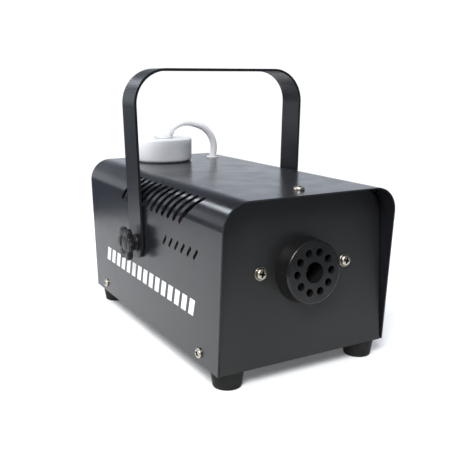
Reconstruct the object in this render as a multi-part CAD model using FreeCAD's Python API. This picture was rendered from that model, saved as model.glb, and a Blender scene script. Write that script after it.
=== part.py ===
import FreeCAD, Part
import os
from math import acos, atan, cos, degrees, pi, radians, sin, sqrt, tan
from FreeCAD import Placement, Rotation, Vector

# Small fog machine: a folded steel case on four rubber feet, a heater with its nozzle at the
# front (-Y), a fluid tank at the back (+Y), a solenoid pump between them, and a tilting handle.
# Millimetres, +Z up, +X to the right seen from the front, origin on the floor under the middle.

os.makedirs("parts", exist_ok=True)

# ---- driving dimensions ------------------------------------------------------------------
foot_height = 13.0
body_length = 240.0        # along Y, at the bottom edge of the cover
body_width = 142.0
body_height = 118.0        # cover only, without the feet
corner_radius = 19.0       # long roof corners of the cover
sheet = 1.0                # thickness of the steel sheet
edge_flare = 8.0           # how much further the cover reaches at its roof, each end
panel_lean = 8.5           # how far the top of the front panel stands back
fit_gap = 0.3              # clearance between the cover and what it slides over

base_z = foot_height                       # underside of the base plate
roof_z = base_z + body_height
half_length = body_length / 2
half_width = body_width / 2
lean_angle = degrees(atan(panel_lean / body_height))

# nozzle and front panel, heights measured up the panel from the base
nozzle_height = 63.2
front_screw_x = 35.5
front_screw_height = 65.2
nozzle_z = base_z + nozzle_height * cos(radians(lean_angle))

# slanted vent slots, laid out on the flat sheet: distance down from the roof's tangent line
slot_width = 3.4
slot_pitch = 10.0
slot_first_y = 45.0
slot_count = 12
slot_low, slot_high, slot_shift = 33.5, 12.8, 23.0
low_slot_first_y = -37.0
low_slot_count = 6
low_slot_width = 2.7
low_slot_low, low_slot_high, low_slot_shift = 54.8, 49.4, 4.8
end_slot_y, end_slot_low, end_slot_high, end_slot_shift = -72.5, 27.5, 20.0, 9.0

# tank, cap and supply hose
cap_x, cap_y = -12.0, 92.5
cap_radius, cap_height = 26.0, 20.0
neck_radius = 21.5
hose_radius = 3.1
grommet_x, grommet_y = 38.9, 92.5

# tilting handle
handle_y = 12.5
handle_z = base_z + 64.0
handle_width = 25.0
handle_strip = 2.0
handle_rise = 136.0        # from the pivot to the top of the strip
handle_gap_low = 0.8       # strip to cover at the pivot
handle_gap_high = 3.8      # strip to cover at the top
handle_corner = 27.0

# things inside
pump_x, pump_y = 44.0, 20.0
column_x = 48.0            # middle of the column of parts on the rear panel
rear_face = half_length - 1.0


# ---- shape helpers -----------------------------------------------------------------------
def box(low, high):
    size = [b - a for a, b in zip(low, high)]
    return Part.makeBox(*size, Vector(*low))


def rod(start, direction, radius, length):
    return Part.makeCylinder(radius, length, Vector(*start), Vector(*direction))


def ring(start, direction, outer, inner, length):
    return rod(start, direction, outer, length).cut(rod(start, direction, inner, length))


def prism(points, direction):
    corners = [Vector(*p) for p in points]
    return Part.Face(Part.makePolygon(corners + corners[:1])).extrude(Vector(*direction))


def hexagon(start, direction, across_flats, length):
    corner = across_flats / sqrt(3)
    corners = [Vector(corner * cos(k * pi / 3), corner * sin(k * pi / 3), 0) for k in range(6)]
    nut = Part.Face(Part.makePolygon(corners + corners[:1])).extrude(Vector(0, 0, length))
    nut.Placement = Placement(Vector(*start), Rotation(Vector(0, 0, 1), Vector(*direction)))
    return nut


def edges_where(shape, keep):
    return [e for e in shape.Edges if keep(e)]


def along(axis):
    unit = Vector(*axis)

    def test(edge):
        if not isinstance(edge.Curve, Part.Line):
            return False
        return abs(abs(edge.tangentAt(edge.FirstParameter).dot(unit)) - 1) < 1e-6
    return test


def rounded(shape, radius, keep):
    return shape.makeFillet(radius, edges_where(shape, keep))


def flat_at(axis_index, value):
    def test(edge):
        bounds = edge.BoundBox
        low = (bounds.XMin, bounds.YMin, bounds.ZMin)[axis_index]
        high = (bounds.XMax, bounds.YMax, bounds.ZMax)[axis_index]
        return abs(low - value) < 1e-4 and abs(high - value) < 1e-4
    return test


def mirrored(shape):
    return shape.mirror(Vector(0, 0, 0), Vector(1, 0, 0))


def leaned(shape):
    """Turn a shape made on an upright front panel back to the panel's lean."""
    turned = shape.copy()
    turned.rotate(Vector(0, -half_length, base_z), Vector(1, 0, 0), -lean_angle)
    return turned


def pan_screw(seat, outward, head_radius, head_height, shank_radius, shank_length):
    """Pan-head screw with a cross recess; seat is the middle of the head's underside."""
    head = Part.makeCylinder(head_radius, head_height)
    head = rounded(head, head_height * 0.55, flat_at(2, head_height))
    for width, length in ((1.1, 5.0), (5.0, 1.1)):
        head = head.cut(box((-width / 2, -length / 2, head_height - 1.5),
                            (width / 2, length / 2, head_height + 1)))
    shank = Part.makeCylinder(shank_radius, shank_length, Vector(0, 0, -shank_length))
    screw = head.fuse(shank)
    screw.Placement = Placement(Vector(*seat), Rotation(Vector(0, 0, 1), Vector(*outward)))
    return screw


def tube(name, points, radius):
    """Round tube of straight runs joined by tangent arcs, as large as the runs allow."""
    route = [Vector(*p) for p in points]
    edges = []
    radii = []
    start = route[0]
    for before, corner, after in zip(route, route[1:], route[2:]):
        run_in, run_out = corner - before, after - corner
        turn = acos(max(-1.0, min(1.0, run_in.dot(run_out) / (run_in.Length * run_out.Length))))
        trim = 0.45 * min(run_in.Length, run_out.Length)
        arc_radius = trim / tan(turn / 2)
        radii.append(arc_radius)
        run_in.normalize()
        run_out.normalize()
        enter, leave = corner - run_in * trim, corner + run_out * trim
        inward = (run_out - run_in).normalize()
        middle = corner + inward * (arc_radius / cos(turn / 2) - arc_radius)
        edges.append(Part.LineSegment(start, enter).toShape())
        edges.append(Part.Arc(enter, middle, leave).toShape())
        start = leave
    edges.append(Part.LineSegment(start, route[-1]).toShape())
    path = Part.Wire(edges)
    first = (route[1] - route[0]).normalize()
    section = Part.Wire(Part.makeCircle(radius, route[0], first))
    solid = path.makePipeShell([section], True, True)
    exact = pi * radius ** 2 * path.Length
    print("%s: length %.1f, tightest radius %.1f, volume %.4f of section x length"
          % (name, path.Length, min(radii), solid.Volume / exact))
    return solid


def revolved(segments, origin, axis):
    """Solid of revolution; segments are edges in the plane that holds the axis."""
    return Part.Face(Part.Wire(segments)).revolve(Vector(*origin), Vector(*axis), 360)


def line(a, b):
    return Part.LineSegment(Vector(*a), Vector(*b)).toShape()


def group(shapes):
    return Part.makeCompound(shapes)


nodes = {}


# ---- case: cover, chassis, feet ----------------------------------------------------------
def arch(inset, low_z, y_from, y_to):
    """Solid with the cover's inverted-U outline, inset from its outer face."""
    side, top, radius = half_width - inset, roof_z - inset, corner_radius - inset
    shift = radius * (1 - sin(pi / 4))
    edges = [
        line((-side, y_from, low_z), (-side, y_from, top - radius)),
        Part.Arc(Vector(-side, y_from, top - radius), Vector(-side + shift, y_from, top - shift),
                 Vector(-side + radius, y_from, top)).toShape(),
        line((-side + radius, y_from, top), (side - radius, y_from, top)),
        Part.Arc(Vector(side - radius, y_from, top), Vector(side - shift, y_from, top - shift),
                 Vector(side, y_from, top - radius)).toShape(),
        line((side, y_from, top - radius), (side, y_from, low_z)),
        line((side, y_from, low_z), (-side, y_from, low_z)),
    ]
    return Part.Face(Part.Wire(edges)).extrude(Vector(0, y_to - y_from, 0))


def on_sheet(y, down):
    """Point and outward normal on the left of the cover, down mm from the roof's tangent line."""
    angle = min(down / corner_radius, pi / 2)
    normal = Vector(-sin(angle), 0, cos(angle))
    centre = Vector(corner_radius - half_width, y, roof_z - corner_radius)
    straight = max(0.0, down - corner_radius * pi / 2)
    return centre + normal * corner_radius - Vector(0, 0, straight), normal


def slot_cutter(low_y, low, high, shift, width=slot_width):
    """Round-ended slot that runs slanting over the sheet, from its low to its high end."""
    reach = 3.0
    middle = (low + high) / 2
    stops = [on_sheet(low_y, low), on_sheet(low_y - shift / 2, middle), on_sheet(low_y - shift, high)]
    (p0, n0), (p1, n1), (p2, n2) = stops
    across = (p1 - p2).cross(p0 - p2)
    if across.Length < 1e-3:
        across = n1.cross(p0 - p2)
    across.normalize()
    flat = [(n - across * n.dot(across)).normalize() for n in (n0, n1, n2)]
    outer = [p + n * reach for p, n in zip((p0, p1, p2), flat)]
    inner = [p - n * reach for p, n in zip((p0, p1, p2), flat)]
    corners = outer + inner[::-1]
    base = across.dot(p0)
    corners = [c + across * (base - across.dot(c)) - across * (width / 2) for c in corners]
    slab = Part.Face(Part.makePolygon(corners + corners[:1])).extrude(across * width)
    ends = []
    for p, n in ((p0, n0), (p2, n2)):
        widen = sqrt(1 - across.dot(n) ** 2)
        ends.append(Part.makeCylinder(width / 2 / widen, 2 * reach, p - n * reach, n))
    return [slab] + ends


def vent_cutters():
    left = []
    for k in range(slot_count):
        left += slot_cutter(slot_first_y - k * slot_pitch, slot_low, slot_high, slot_shift)
    for k in range(low_slot_count):
        left += slot_cutter(low_slot_first_y - k * slot_pitch, low_slot_low, low_slot_high,
                            low_slot_shift, low_slot_width)
    left += slot_cutter(end_slot_y, end_slot_low, end_slot_high, end_slot_shift)
    return left + [mirrored(c) for c in left]


side_screw_y, side_screw_z = 94.0, base_z + 8.0
roof_screw_y = -107.6
foot_x, foot_y = 57.0, 108.0
corners_xy = [(-1, -1), (1, -1), (-1, 1), (1, 1)]


def make_cover():
    long_end = half_length + edge_flare
    cover = arch(0, base_z, -long_end, long_end).cut(
        arch(sheet, base_z - 1, -long_end - 1, long_end + 1))
    side_view = [(-half_width - 1, -half_length, base_z), (-half_width - 1, half_length, base_z),
                 (-half_width - 1, long_end, roof_z), (-half_width - 1, -long_end, roof_z)]
    cover = cover.common(prism(side_view, (body_width + 2, 0, 0)))
    holes = vent_cutters()
    holes.append(rod((cap_x, cap_y, roof_z - 3), (0, 0, 1), neck_radius + 2.5, 6))
    holes.append(rod((grommet_x, grommet_y, roof_z - 3), (0, 0, 1), 5.5, 6))
    holes.append(rod((0, roof_screw_y, roof_z - 3), (0, 0, 1), 2.2, 6))
    holes.append(rod((-half_width - 2, handle_y, handle_z), (1, 0, 0), 3.3, body_width + 4))
    for y in (-side_screw_y, side_screw_y):
        holes.append(rod((-half_width - 2, y, side_screw_z), (1, 0, 0), 2.2, body_width + 4))
    return cover.cut(holes)


def pressed_panel(face_y, into, depth, bend, height):
    """Panel with a flange round its sides and top, upright, its face at face_y."""
    inset = sheet + fit_gap
    cut_top = base_z + height
    outer = arch(inset, base_z, face_y, face_y + into * depth)
    inner = arch(inset + sheet, base_z - 1, face_y + into * sheet, face_y + into * (depth + 1))
    outer = rounded(outer, bend, lambda e: flat_at(1, face_y)(e) and not flat_at(2, base_z)(e))
    lowered = [s.common(box((-80, -140, base_z - 2), (80, 140, cut_top))) for s in (outer, inner)]
    return lowered[0].cut(lowered[1])


def make_chassis():
    flange = 12.0
    lip = 14.0
    side = half_width - sheet - fit_gap
    front = leaned(pressed_panel(-half_length, 1, flange, 2.2, body_height))
    rear = pressed_panel(rear_face, -1, flange, 2.2, body_height)
    rear = rear.cut(box((-60, rear_face - flange - 1, roof_z - 16), (60, rear_face - sheet, roof_z)))
    plate = box((-side, -half_length + 0.5, base_z), (side, rear_face - 0.5, base_z + sheet))
    tray = [plate]
    for x in (-side, side - sheet):
        tray.append(box((x, -104, base_z), (x + sheet, 104, base_z + lip)))
    chassis = front.fuse([rear] + tray).removeSplitter()
    below = box((-90, -150, base_z - 10), (90, 150, base_z))
    holes = [
        leaned(rod((0, -half_length - 3, base_z + nozzle_height), (0, 1, 0), 10.0, 8)),
        rod((0, roof_screw_y, roof_z - 10), (0, 0, 1), 2.2, 12),
    ]
    for sx in (-1, 1):
        holes.append(leaned(rod((sx * front_screw_x, -half_length - 3, base_z + front_screw_height),
                                (0, 1, 0), 2.2, 8)))
    for sx, sy in corners_xy:
        holes.append(rod((sx * foot_x, sy * foot_y, base_z - 2), (0, 0, 1), 2.2, 6))
        holes.append(rod((sx * side - sx * 3, sy * side_screw_y, side_screw_z), (sx, 0, 0), 2.2, 6))
    holes += rear_cutouts()
    return chassis.cut([below] + holes)


inlet_z, switch_z, fuse_z, remote_z = 37.5, 68.5, 92.0, 113.0


def rear_cutouts():
    y0 = rear_face - 4
    return [
        box((column_x - 10.2, y0, inlet_z - 13.7), (column_x + 10.2, y0 + 8, inlet_z + 13.7)),
        box((column_x - 6.7, y0, switch_z - 9.7), (column_x + 6.7, y0 + 8, switch_z + 9.7)),
        rod((column_x, y0, fuse_z), (0, 1, 0), 6.2, 8),
        rod((column_x, y0, remote_z), (0, 1, 0), 7.7, 8),
    ]


def make_feet():
    feet = []
    for sx, sy in corners_xy:
        x, y = sx * foot_x, sy * foot_y
        foot = Part.makeCone(10.0, 12.0, foot_height, Vector(x, y, 0))
        foot = rounded(foot, 1.2, flat_at(2, 0))
        foot = foot.cut(rod((x, y, -1), (0, 0, 1), 4.6, 7))
        feet.append(foot.cut(rod((x, y, 0), (0, 0, 1), 2.3, foot_height)))
    nodes["rubber_feet"] = group(feet)


def make_case_fasteners():
    foot_screws, foot_nuts, side_screws = [], [], []
    side = half_width
    for sx, sy in corners_xy:
        x, y = sx * foot_x, sy * foot_y
        foot_screws.append(pan_screw((x, y, 5.9), (0, 0, -1), 3.8, 2.4, 1.95, 12))
        nut = hexagon((x, y, base_z + sheet), (0, 0, 1), 7, 3)
        foot_nuts.append(nut.cut(rod((x, y, base_z), (0, 0, 1), 2.0, 6)))
        side_screws.append(pan_screw((sx * side, sy * side_screw_y, side_screw_z), (sx, 0, 0),
                                     3.6, 2.3, 1.95, 6))
    nodes["foot_screws"] = group(foot_screws)
    nodes["foot_nuts"] = group(foot_nuts)
    nodes["side_screws"] = group(side_screws)
    nodes["roof_screw"] = pan_screw((0, roof_screw_y, roof_z), (0, 0, 1), 3.9, 2.4, 1.95, 8)
    washers, screws = [], []
    for sx in (-1, 1):
        seat = (sx * front_screw_x, -half_length, base_z + front_screw_height)
        washers.append(leaned(ring(seat, (0, -1, 0), 4.8, 2.2, 0.8)))
        head_seat = (seat[0], seat[1] - 0.8, seat[2])
        screws.append(leaned(pan_screw(head_seat, (0, -1, 0), 3.9, 2.5, 1.95, 7)))
    nodes["front_screw_washers"] = group(washers)
    nodes["front_screws"] = group(screws)


# ---- nozzle, heater and what holds it ----------------------------------------------------
cap_depth = 12.5           # how far the guard stands out from the front panel
cap_hole_count = 10
cap_hole_circle = 14.15
cap_hole_radius = 2.8
heater_front, heater_rear = -98.0, -30.0
heater_half_width = 29.0
heater_half_height = 17.0
element_x, element_radius, element_drop = 19.0, 3.25, 9.0
vapour_radius = 3.0


def make_nozzle_cap():
    """Tapered guard round the nozzle, with a tube that snaps into the front panel."""
    def at(radius, out):
        return Vector(radius, -half_length - out, base_z + nozzle_height)
    face = cap_depth
    outline = [at(23.6, 0.1), at(22.3, face - 2.3), at(20.6, face), at(7.25, face), at(7.25, -3.8),
               at(8.8, -3.8), at(10.6, -2.4), at(10.6, -1.3), at(9.6, -1.3), at(9.6, face - 3.5),
               at(19.8, face - 3.5), at(21.4, 0.1)]
    edges = [Part.LineSegment(outline[0], outline[1]).toShape(),
             Part.Arc(outline[1], at(21.9, face - 0.7), outline[2]).toShape()]
    for a, b in zip(outline[2:], outline[3:] + outline[:1]):
        edges.append(Part.LineSegment(a, b).toShape())
    cap = revolved(edges, (0, 0, base_z + nozzle_height), (0, 1, 0))
    holes = []
    for k in range(cap_hole_count):
        angle = 2 * pi * k / cap_hole_count
        x = cap_hole_circle * cos(angle)
        z = base_z + nozzle_height + cap_hole_circle * sin(angle)
        holes.append(rod((x, -half_length - face - 1, z), (0, 1, 0), cap_hole_radius, 6))
    nodes["nozzle_cap"] = leaned(cap.cut(holes))


def make_nozzle():
    tip_y = -117.0
    hexagon_part = hexagon((0, heater_front - 6, nozzle_z), (0, 1, 0), 12, 6)
    neck = rod((0, -112, nozzle_z), (0, 1, 0), 4.2, 8.1)
    tip = Part.makeCone(2.4, 4.2, -112 - tip_y, Vector(0, tip_y, nozzle_z), Vector(0, 1, 0))
    thread = rod((0, heater_front - 0.1, nozzle_z), (0, 1, 0), 4.9, 9)
    bore = rod((0, tip_y - 1, nozzle_z), (0, 1, 0), 0.9, 40)
    nodes["nozzle"] = hexagon_part.fuse([neck, tip, thread]).cut(bore)


def element_solid(radius):
    """U-shaped heating tube lying flat below the vapour tube, its legs pointing back."""
    z = nozzle_z - element_drop
    turn_y = -66.0
    legs_end = -26.0
    path = Part.Wire([
        line((-element_x, legs_end, z), (-element_x, turn_y, z)),
        Part.Arc(Vector(-element_x, turn_y, z), Vector(0, turn_y - element_x, z),
                 Vector(element_x, turn_y, z)).toShape(),
        line((element_x, turn_y, z), (element_x, legs_end, z)),
    ])
    section = Part.Wire(Part.makeCircle(radius, Vector(-element_x, legs_end, z), Vector(0, 1, 0)))
    return path.makePipeShell([section], True, True)


def make_heater():
    w, h = heater_half_width, heater_half_height
    block = box((-w, heater_front, nozzle_z - h), (w, heater_rear, nozzle_z + h))
    block = rounded(block, 4.0, along((0, 1, 0)))
    block = block.cut([
        element_solid(element_radius + 0.05),
        rod((0, heater_front - 1, nozzle_z), (0, 1, 0), 4.95, 10.5),
        rod((0, heater_front + 8, nozzle_z), (0, 1, 0), vapour_radius + 0.05, 80),
    ])
    pockets = []
    for sx in (-1, 1):
        for y in (-91.0, -81.0):
            pockets.append(rod((sx * w, y, nozzle_z), (-sx, 0, 0), 2.0, 8))
    nodes["heater_block"] = block.cut(pockets)
    nodes["heating_element"] = element_solid(element_radius)
    nodes["vapour_tube"] = ring((0, heater_front + 9.2, nozzle_z), (0, 1, 0), vapour_radius, 2.0,
                                -20 - (heater_front + 9.2))
    fitting = hexagon((0, -20, nozzle_z), (0, 1, 0), 10, 9.5)
    nodes["heater_inlet_fitting"] = fitting.cut(rod((0, -21, nozzle_z), (0, 1, 0), 1.5, 12))


def make_heater_brackets():
    brackets, screws = [], []
    for sx in (-1, 1):
        tab = box((29.3, -half_length + 1.1, base_z + 56), (43, -half_length + 2.6, base_z + 74))
        tab = tab.cut(rod((front_screw_x, -half_length, base_z + front_screw_height), (0, 1, 0),
                          2.0, 5))
        arm = box((29.3, -113.6, nozzle_z - 7), (30.8, -75, nozzle_z + 7))
        bracket = leaned(tab).fuse(arm)
        for y in (-91.0, -81.0):
            bracket = bracket.cut(rod((25, y, nozzle_z), (1, 0, 0), 2.2, 10))
            screws.append(pan_screw((sx * 30.8, y, nozzle_z), (sx, 0, 0), 3.6, 2.2, 1.9, 8))
        brackets.append(bracket if sx > 0 else mirrored(bracket))
    nodes["heater_brackets"] = group(brackets)
    nodes["heater_screws"] = group(screws)


def make_insulation():
    y0, y1 = -72.0, -32.0
    inner_w, inner_h = heater_half_width + 0.5, heater_half_height + 0.5
    wrap = box((-inner_w - 5, y0, nozzle_z - inner_h - 5), (inner_w + 5, y1, nozzle_z + inner_h + 5))
    wrap = rounded(wrap, 6.0, along((0, 1, 0)))
    core = box((-inner_w, y0 - 1, nozzle_z - inner_h), (inner_w, y1 + 1, nozzle_z + inner_h))
    nodes["heater_insulation"] = wrap.cut(core)


thermostat_x, thermostat_y = 15.0, -86.0


def make_thermostats():
    seat = nozzle_z + heater_half_height
    thermostats = []
    for sx in (-1, 1):
        x = sx * thermostat_x
        cup = rod((x, thermostat_y, seat), (0, 0, 1), 8.0, 4.5)
        head = rod((x, thermostat_y, seat + 4.5), (0, 0, 1), 7.0, 4.5)
        body = rounded(cup.fuse(head), 0.8, flat_at(2, seat + 9.0))
        blades = [box((x + dx - 0.4, thermostat_y - 3, seat + 8), (x + dx + 0.4, thermostat_y + 3,
                                                                    seat + 16)) for dx in (-4.5, 4.5)]
        thermostats.append(body.fuse(blades))
    nodes["thermostats"] = group(thermostats)


def make_heat_shield():
    plate = box((-62, -6, base_z + sheet), (62, -5, 112))
    foot = box((-62, -6, base_z + sheet), (62, 6, base_z + 2 * sheet))
    shield = plate.fuse(foot)
    notch = box((-63, -7, 82), (-44, -4, 113))
    lead_notch = box((16, -7, nozzle_z - 14), (28, -4, nozzle_z - 4))
    tube_hole = rod((0, -8, nozzle_z), (0, 1, 0), 4.5, 5)
    board_clear = box((-70, -0.5, base_z), (-4, 7, base_z + 3))
    nodes["heat_shield"] = shield.cut([notch, lead_notch, tube_hole, board_clear])


# ---- tank, cap, hose ---------------------------------------------------------------------
tank_low, tank_high = (-50.0, 57.0, 15.3), (24.0, 114.0, 104.0)
tank_wall = 1.5
cap_low = roof_z + 0.7
cap_top = cap_low + cap_height
elbow_low = cap_top + 0.3
elbow_tip = (-2.6, cap_y, 157.4)


def make_tank():
    walls = box((-52, 55, base_z + sheet), (26, 116, 36))
    walls = rounded(walls, 4.0, along((0, 0, 1)))
    hollow = box((-51, 56, base_z + 2 * sheet), (25, 115, 40))
    nodes["tank_tray"] = walls.cut(rounded(hollow, 3.0, along((0, 0, 1))))

    outer = rounded(box(tank_low, tank_high), 8.0, along((0, 0, 1)))
    outer = rounded(outer, 5.0, lambda e: flat_at(2, tank_high[2])(e) or flat_at(2, tank_low[2])(e))
    inner = box([v + tank_wall for v in tank_low], [v - tank_wall for v in tank_high])
    inner = rounded(inner, 6.5, along((0, 0, 1)))
    neck = rod((cap_x, cap_y, tank_high[2] - 1), (0, 0, 1), neck_radius, 45.5)
    bottle = outer.fuse(neck).cut(inner)
    nodes["tank_bottle"] = bottle.cut(
        rod((cap_x, cap_y, tank_high[2] - 4), (0, 0, 1), neck_radius - 2, 60))


def make_tank_cap():
    cap = rod((cap_x, cap_y, cap_low), (0, 0, 1), cap_radius, cap_height)
    cap = rounded(cap, 2.2, flat_at(2, cap_low))
    cap = rounded(cap, 1.2, flat_at(2, cap_top))
    cap = cap.cut(rod((cap_x, cap_y, cap_low - 1), (0, 0, 1), neck_radius + 0.4, cap_height - 1))
    nodes["tank_cap"] = cap.cut(rod((cap_x, cap_y, cap_low), (0, 0, 1), 5.3, cap_height + 2))
    nodes["cap_gasket"] = ring((cap_x, cap_y, cap_top - 3.0), (0, 0, 1), 21.0, 13.0, 0.9)


def make_cap_elbow():
    """Swivel spout that stays with the hose while the cap turns under it."""
    disc = rod((cap_x, cap_y, elbow_low), (0, 0, 1), 9.0, 1.4)
    disc = rounded(disc, 0.6, flat_at(2, elbow_low + 1.4))
    spindle = rod((cap_x, cap_y, cap_top - 7), (0, 0, 1), 5.0, 8)
    catch = rod((cap_x, cap_y, cap_top - 4.2), (0, 0, 1), 7.5, 1.8)
    slope = Vector(cos(radians(40)), 0, sin(radians(40)))
    tip = Vector(*elbow_tip)
    spout = Part.makeCone(4.9, 3.9, 14.0, tip - slope * 14.0, slope)
    spout = spout.cut(box((-40, 60, 130), (40, 120, elbow_low)))
    bore = Part.makeCylinder(1.9, 15.5, tip - slope * 14.5, slope)
    riser = rod((cap_x, cap_y, cap_top - 8), (0, 0, 1), 1.9, 9.5)
    nodes["cap_elbow"] = disc.fuse([spindle, catch, spout]).cut([bore, riser])


hose_end = (38.24, grommet_y, 129.27)
hose_route = [elbow_tip, (4.77, cap_y, 161.83), (13.29, cap_y, 163.00), (21.77, cap_y, 161.60),
              (30.01, cap_y, 159.13), (36.61, cap_y, 153.62), (40.51, cap_y, 145.96),
              (41.09, cap_y, 137.38), hose_end]
inner_hose_route = [hose_end, (34.89, grommet_y, 119.92), (33.6, 88.3, 110.8), (33.8, 80.6, 104.2),
                    (35, 70.8, 101.6), (36.8, 60.7, 103.6), (38.4, 52, 109.4), (40.4, 41.8, 111.6),
                    (42.3, 32, 109.2), (43.5, 24.2, 102.4), (pump_x, pump_y, 93.8),
                    (pump_x, pump_y, 85.1)]


def make_hoses():
    nodes["supply_hose"] = tube("supply_hose", hose_route, hose_radius)
    nodes["pump_inlet_hose"] = tube("pump_inlet_hose", inner_hose_route, 2.8)
    collar = ring((grommet_x, grommet_y, roof_z - sheet - 1.6), (0, 0, 1), 7.5, 4.3, 1.6)
    neck = ring((grommet_x, grommet_y, roof_z - sheet), (0, 0, 1), 5.3, 4.3, sheet)
    flange = ring((grommet_x, grommet_y, roof_z), (0, 0, 1), 6.6, 4.3, 1.2)
    grommet = collar.fuse([neck, flange])
    nodes["roof_grommet"] = rounded(grommet, 0.6, lambda e: flat_at(2, roof_z + 1.2)(e)
                                    and e.Curve.Radius > 6)
    nodes["pickup_tube"] = ring((cap_x, cap_y, 33.1), (0, 0, 1), 3.0, 2.0, cap_top - 7.1 - 33.1)
    strainer = rod((cap_x, cap_y, 18), (0, 0, 1), 6.5, 15)
    nodes["pickup_filter"] = rounded(strainer, 1.0, lambda e: flat_at(2, 18)(e) or flat_at(2, 33)(e))


# ---- pump --------------------------------------------------------------------------------
valve_low, yoke_low, yoke_high = 24.0, 40.0, 72.0
plunger_radius, plunger_low = 4.92, 50.2
spring_low = 40.1


def make_pump():
    x, y = pump_x, pump_y
    valve = rod((x, y, valve_low), (0, 0, 1), 11, yoke_low - valve_low)
    outlet = rod((x, y, 32), (-1, 0, 0), 2.6, 16)
    nodes["pump_valve_body"] = valve.fuse(outlet).cut(rod((x, y, 32), (-1, 0, 0), 1.2, 20))
    frame = box((x - 17, y - 14, yoke_low), (x + 19, y + 14, yoke_high))
    frame = frame.cut(box((x - 18, y - 15, yoke_low + 2), (x + 17, y + 15, yoke_high - 2)))
    nodes["pump_yoke"] = frame.cut(rod((x, y, yoke_low - 1), (0, 0, 1), 6.1, 40))
    nodes["pump_coil"] = ring((x, y, yoke_low + 2.1), (0, 0, 1), 14.5, 6.1, 27.8)
    nodes["pump_core_tube"] = ring((x, y, yoke_low + 0.05), (0, 0, 1), 6.0, 5.0, 33.9)
    top = rod((x, y, yoke_high + 0.05), (0, 0, 1), 8.5, 7)
    top = top.cut(rod((x, y, yoke_high - 1), (0, 0, 1), 6.05, 3))
    barb = rod((x, y, yoke_high + 7), (0, 0, 1), 2.6, 6)
    nodes["pump_inlet_head"] = top.fuse(barb).cut(rod((x, y, yoke_high), (0, 0, 1), 1.2, 20))
    plunger = rod((x, y, plunger_low), (0, 0, 1), plunger_radius, 22)
    nodes["pump_plunger"] = plunger.cut(rod((x, y, plunger_low - 1), (0, 0, 1), 1.5, 24))
    coil = []
    for k in range(37):
        angle = 2 * pi * k / 8
        coil.append((x + 3.9 * cos(angle), y + 3.9 * sin(angle), spring_low + 0.7 + 8.6 * k / 36))
    nodes["pump_spring"] = tube("pump_spring", coil, 0.5)
    plate = box((x - 17, y - 13, base_z + sheet), (x + 17, y + 13, base_z + 2.5))
    nodes["pump_bracket"] = plate
    bushes = [rod((x + dx, y, base_z + 2.5), (0, 0, 1), 5.0, valve_low - base_z - 2.5)
              for dx in (-5.5, 5.5)]
    nodes["pump_mounts"] = group(bushes)


# ---- electrics ---------------------------------------------------------------------------
board_z = 21.0
board_top = board_z + 1.6


def make_board():
    board = box((-62, 0.5, board_z), (-8, 44, board_top))
    posts, holes = [], []
    for x in (-58.5, -11.5):
        for y in (4.0, 40.5):
            holes.append(rod((x, y, board_z - 1), (0, 0, 1), 1.6, 4))
            post = rod((x, y, base_z + sheet), (0, 0, 1), 3.0, board_z - base_z - sheet)
            pin = rod((x, y, board_z), (0, 0, 1), 1.5, 1.6)
            head = Part.makeCone(2.4, 1.6, 1.4, Vector(x, y, board_top))
            posts.append(post.fuse([pin, head]))
    nodes["circuit_board"] = board.cut(holes)
    nodes["board_posts"] = group(posts)
    relay = box((-56, 22, board_top), (-37, 37, board_top + 15.5))
    nodes["relay"] = rounded(relay, 1.0, lambda e: not flat_at(2, board_top)(e))
    block = box((-22, 9, board_top), (-12, 35, board_top + 11))
    for k in range(4):
        y = 12.5 + k * 6.3
        block = block.cut(rod((-17, y, board_top + 11), (0, 0, -1), 1.7, 3))
    nodes["terminal_block"] = block


def make_rear_sockets():
    x, y = column_x, rear_face
    flange = rounded(box((x - 12.2, y, inlet_z - 15.6), (x + 12.2, y + 2.2, inlet_z + 15.6)), 2.0,
                     along((0, 1, 0)))
    shell = box((x - 10, y - 21, inlet_z - 13.5), (x + 10, y, inlet_z + 13.5))
    half_w, half_h, cut = 7.9, 11.8, 4.0
    mouth = [(x - half_w, y + 3, inlet_z - half_h), (x + half_w - cut, y + 3, inlet_z - half_h),
             (x + half_w, y + 3, inlet_z - half_h + cut), (x + half_w, y + 3, inlet_z + half_h - cut),
             (x + half_w - cut, y + 3, inlet_z + half_h), (x - half_w, y + 3, inlet_z + half_h)]
    nodes["power_inlet"] = flange.fuse(shell).cut(prism(mouth, (0, -19, 0)))
    pins = []
    for dx, dz in ((2.0, 0), (-2.0, -7.0), (-2.0, 7.0)):
        blade = box((x + dx - 2.2, y - 16, inlet_z + dz - 1), (x + dx + 2.2, y - 1, inlet_z + dz + 1))
        pins.append(rounded(blade, 0.6, flat_at(1, y - 1)))
    nodes["inlet_pins"] = group(pins)

    barrel = ring((x, y - 26, fuse_z), (0, 1, 0), 6.0, 3.2, 26)
    collar = ring((x, y, fuse_z), (0, 1, 0), 7.6, 3.2, 2)
    nodes["fuse_holder"] = barrel.fuse(collar)
    nodes["fuse"] = rod((x, y - 22, fuse_z), (0, 1, 0), 2.6, 20)
    knob = rod((x, y + 2.3, fuse_z), (0, 1, 0), 6.0, 4.7)
    knob = rounded(knob, 1.2, flat_at(1, y + 7.0))
    knob = knob.cut(box((x - 5, y + 5.2, fuse_z - 0.7), (x + 5, y + 8, fuse_z + 0.7)))
    nodes["fuse_cap"] = knob.fuse(rod((x, y - 1.5, fuse_z), (0, 1, 0), 2.85, 4.5))

    plug = rod((x, y - 15, remote_z), (0, 1, 0), 7.5, 15)
    rim = rod((x, y, remote_z), (0, 1, 0), 9.0, 2)
    socket = plug.fuse(rim).cut(rod((x, y - 9, remote_z), (0, 1, 0), 6.0, 12))
    contacts = [rod((x + 3.2 * cos(a), y - 9.5, remote_z + 3.2 * sin(a)), (0, 1, 0), 0.7, 7)
                for a in (radians(k) for k in (0, 60, 120, 180, 270))]
    nodes["remote_socket"] = socket.fuse(contacts)


rocker_swing = 8.0
rocker_pivot = (column_x, rear_face - 1.5, switch_z)


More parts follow.
